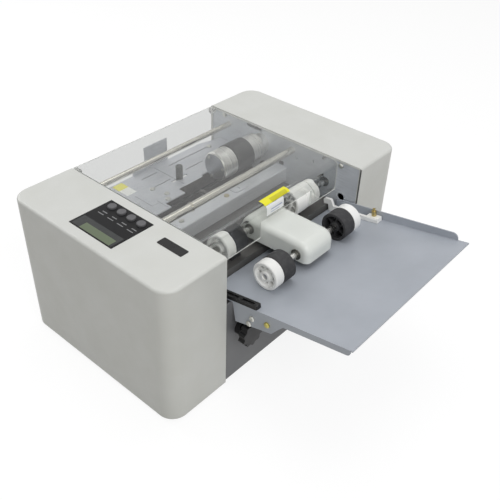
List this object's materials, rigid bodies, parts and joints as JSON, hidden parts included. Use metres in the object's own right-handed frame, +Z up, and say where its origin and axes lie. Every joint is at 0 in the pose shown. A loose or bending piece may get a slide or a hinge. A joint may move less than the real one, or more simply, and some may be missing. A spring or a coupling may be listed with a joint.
{
  "type": "business card cutter",
  "caption": "Desk-top business card cutter: two side housings, sloping feed tray, pick-up arm with rubber rollers, slitter, guillotine and hinged clear cover.",
  "frame": {"origin": "on the desk, under the centre of the machine's bounding box", "axes": "+X across the machine to the drive side, the feed side faces -Y, +Z up"},
  "size_m": [0.432, 0.428, 0.2018],
  "materials": {
    "housing": "moulded, fine satin",
    "side_plate": "grey powder coat",
    "floor_pan": "grey powder coat",
    "front_panel": "dark grey powder coat",
    "tray": "grey powder coat",
    "rod": "ground and plated",
    "deck": "zinc plated sheet",
    "motor_metal": "turned",
    "motor_paint": "satin grey",
    "pad_rubber": "matt",
    "black_plastic": "moulded",
    "white_nylon": "moulded nylon",
    "brass": "turned",
    "bushing": "sintered steel",
    "shaft_steel": "ground",
    "tyre_rubber": "ground rubber",
    "arm_shell": "moulded, satin",
    "belt_rubber": "moulded",
    "gear_steel": "hobbed",
    "pulley": "turned",
    "blade_steel": "ground",
    "screws": "zinc plated",
    "clear": "clear acrylic sheet",
    "bezel": "membrane film",
    "window": "display window",
    "button": "moulded",
    "rocker": "moulded",
    "stop_post": "moulded"
  },
  "bodies": {
    "root": {"left_housing": "housing", "right_housing": "housing", "left_side_plate": "side_plate", "right_side_plate": "side_plate", "base_plate": "floor_pan", "front_lower_panel": "front_panel", "front_tie_rod": "rod", "rear_tie_rod": "rod", "cross_beam": "deck", "beam_bracket": "deck", "guide_deck": "deck", "motor_end_cap": "motor_metal", "motor_can": "motor_paint", "motor_gearbox": "motor_metal", "feed_tray": "tray", "infeed_guide": "floor_pan", "separation_pads": "pad_rubber", "left_sheet_guide": "black_plastic", "shaft_bushings": "bushing", "cover_pins": "shaft_steel", "counter_blade": "blade_steel", "feed_belt": "belt_rubber", "panel_bezel": "bezel", "display_window": "window", "power_inlet": "black_plastic", "rubber_feet": "pad_rubber", "frame_screws": "screws"},
    "cover": {"clear_cover": "clear"},
    "feed_arm": {"arm_housing": "arm_shell", "arm_base_plate": "black_plastic", "arm_bushings": "bushing", "arm_belt": "belt_rubber"},
    "front_rollers": {"front_roller_shaft": "shaft_steel", "front_left_tyre": "tyre_rubber", "front_left_wheel": "white_nylon", "front_right_tyre": "tyre_rubber", "front_right_wheel": "white_nylon"},
    "rear_rollers": {"rear_feed_shaft": "shaft_steel", "rear_left_tyre": "tyre_rubber", "rear_left_wheel": "white_nylon", "rear_right_tyre": "white_nylon", "rear_right_wheel": "white_nylon", "feed_pulley": "pulley"},
    "upper_slitter": {"upper_slitter_shaft": "shaft_steel", "upper_slitter_blades": "blade_steel", "upper_slitter_gear": "gear_steel"},
    "lower_slitter": {"lower_slitter_shaft": "shaft_steel", "lower_slitter_blades": "blade_steel", "lower_slitter_gear": "gear_steel"},
    "motor_drive": {"motor_gear": "gear_steel"},
    "guillotine": {"guillotine_blade": "blade_steel"},
    "skew_adjuster": {"skew_knob": "black_plastic"},
    "feed_key": {"feed_button": "button"},
    "up_key": {"up_button": "button"},
    "down_key": {"down_button": "button"},
    "stop_key": {"stop_button": "button"},
    "power_switch": {"rocker_switch": "rocker"},
    "deck_stop": {"deck_stop_knob": "stop_post"},
    "sheet_guide": {"right_sheet_guide": "white_nylon"},
    "guide_screw": {"thumb_screw": "brass"}
  },
  "joints": [
    {"name": "cover_hinge", "type": "hinge", "parent": "root", "child": "cover", "pos_m": [0, 0.207, 0.193], "axis": [-1, 0, 0], "range_deg": [0, 105]},
    {"name": "arm_lift", "type": "hinge", "parent": "root", "child": "feed_arm", "pos_m": [0, 0.0025, 0.1572], "axis": [-1, 0, 0], "range_deg": [0, 12]},
    {"name": "motor_spin", "type": "hinge", "parent": "root", "child": "motor_drive", "pos_m": [0, 0.11601, 0.171], "axis": [1, 0, 0], "continuous": true},
    {"name": "rear_roller_spin", "type": "hinge", "parent": "root", "child": "rear_rollers", "pos_m": [0, 0.0025, 0.1572], "axis": [1, 0, 0], "continuous": true},
    {"name": "front_roller_spin", "type": "hinge", "parent": "feed_arm", "child": "front_rollers", "pos_m": [0, -0.071, 0.15583], "axis": [1, 0, 0], "continuous": true},
    {"name": "upper_slitter_spin", "type": "hinge", "parent": "root", "child": "upper_slitter", "pos_m": [0, 0.1077, 0.137], "axis": [1, 0, 0], "continuous": true},
    {"name": "lower_slitter_spin", "type": "hinge", "parent": "root", "child": "lower_slitter", "pos_m": [0, 0.1077, 0.111], "axis": [1, 0, 0], "continuous": true},
    {"name": "guillotine_drop", "type": "slide", "parent": "root", "child": "guillotine", "axis": [0, 0, -1], "range_m": [0, 0.01]},
    {"name": "skew_turn", "type": "hinge", "parent": "root", "child": "skew_adjuster", "pos_m": [-0.103, -0.054, 0.084], "axis": [0, -1, 0], "range_deg": [-90, 90]},
    {"name": "power_rock", "type": "hinge", "parent": "root", "child": "power_switch", "pos_m": [0.167, 0.208, 0.079], "axis": [-1, 0, 0], "range_deg": [0, 16]},
    {"name": "stop_slide", "type": "slide", "parent": "root", "child": "deck_stop", "axis": [1, 0, 0], "range_m": [-0.012, 0.012]},
    {"name": "guide_slide", "type": "slide", "parent": "root", "child": "sheet_guide", "axis": [-1, 0, 0], "range_m": [0, 0.02]},
    {"name": "guide_screw_turn", "type": "hinge", "parent": "sheet_guide", "child": "guide_screw", "pos_m": [0.1192, -0.08655, 0.14655], "axis": [0, 0.1853, 0.9827], "range_deg": [0, 360]},
    {"name": "feed_press", "type": "slide", "parent": "root", "child": "feed_key", "axis": [0, 0, -1], "range_m": [0, 0.0012], "stiffness_N_per_m": 400, "springref_m": -0.0005},
    {"name": "up_press", "type": "slide", "parent": "root", "child": "up_key", "axis": [0, 0, -1], "range_m": [0, 0.0012], "stiffness_N_per_m": 400, "springref_m": -0.0005},
    {"name": "down_press", "type": "slide", "parent": "root", "child": "down_key", "axis": [0, 0, -1], "range_m": [0, 0.0012], "stiffness_N_per_m": 400, "springref_m": -0.0005},
    {"name": "stop_press", "type": "slide", "parent": "root", "child": "stop_key", "axis": [0, 0, -1], "range_m": [0, 0.0012], "stiffness_N_per_m": 400, "springref_m": -0.0005}
  ],
  "couplings": [
    {"joint": "rear_roller_spin", "follows": "motor_spin", "ratio": 0.71429},
    {"joint": "front_roller_spin", "follows": "motor_spin", "ratio": 0.71429},
    {"joint": "upper_slitter_spin", "follows": "motor_spin", "ratio": -1.6923},
    {"joint": "lower_slitter_spin", "follows": "motor_spin", "ratio": 1.6923}
  ]
}
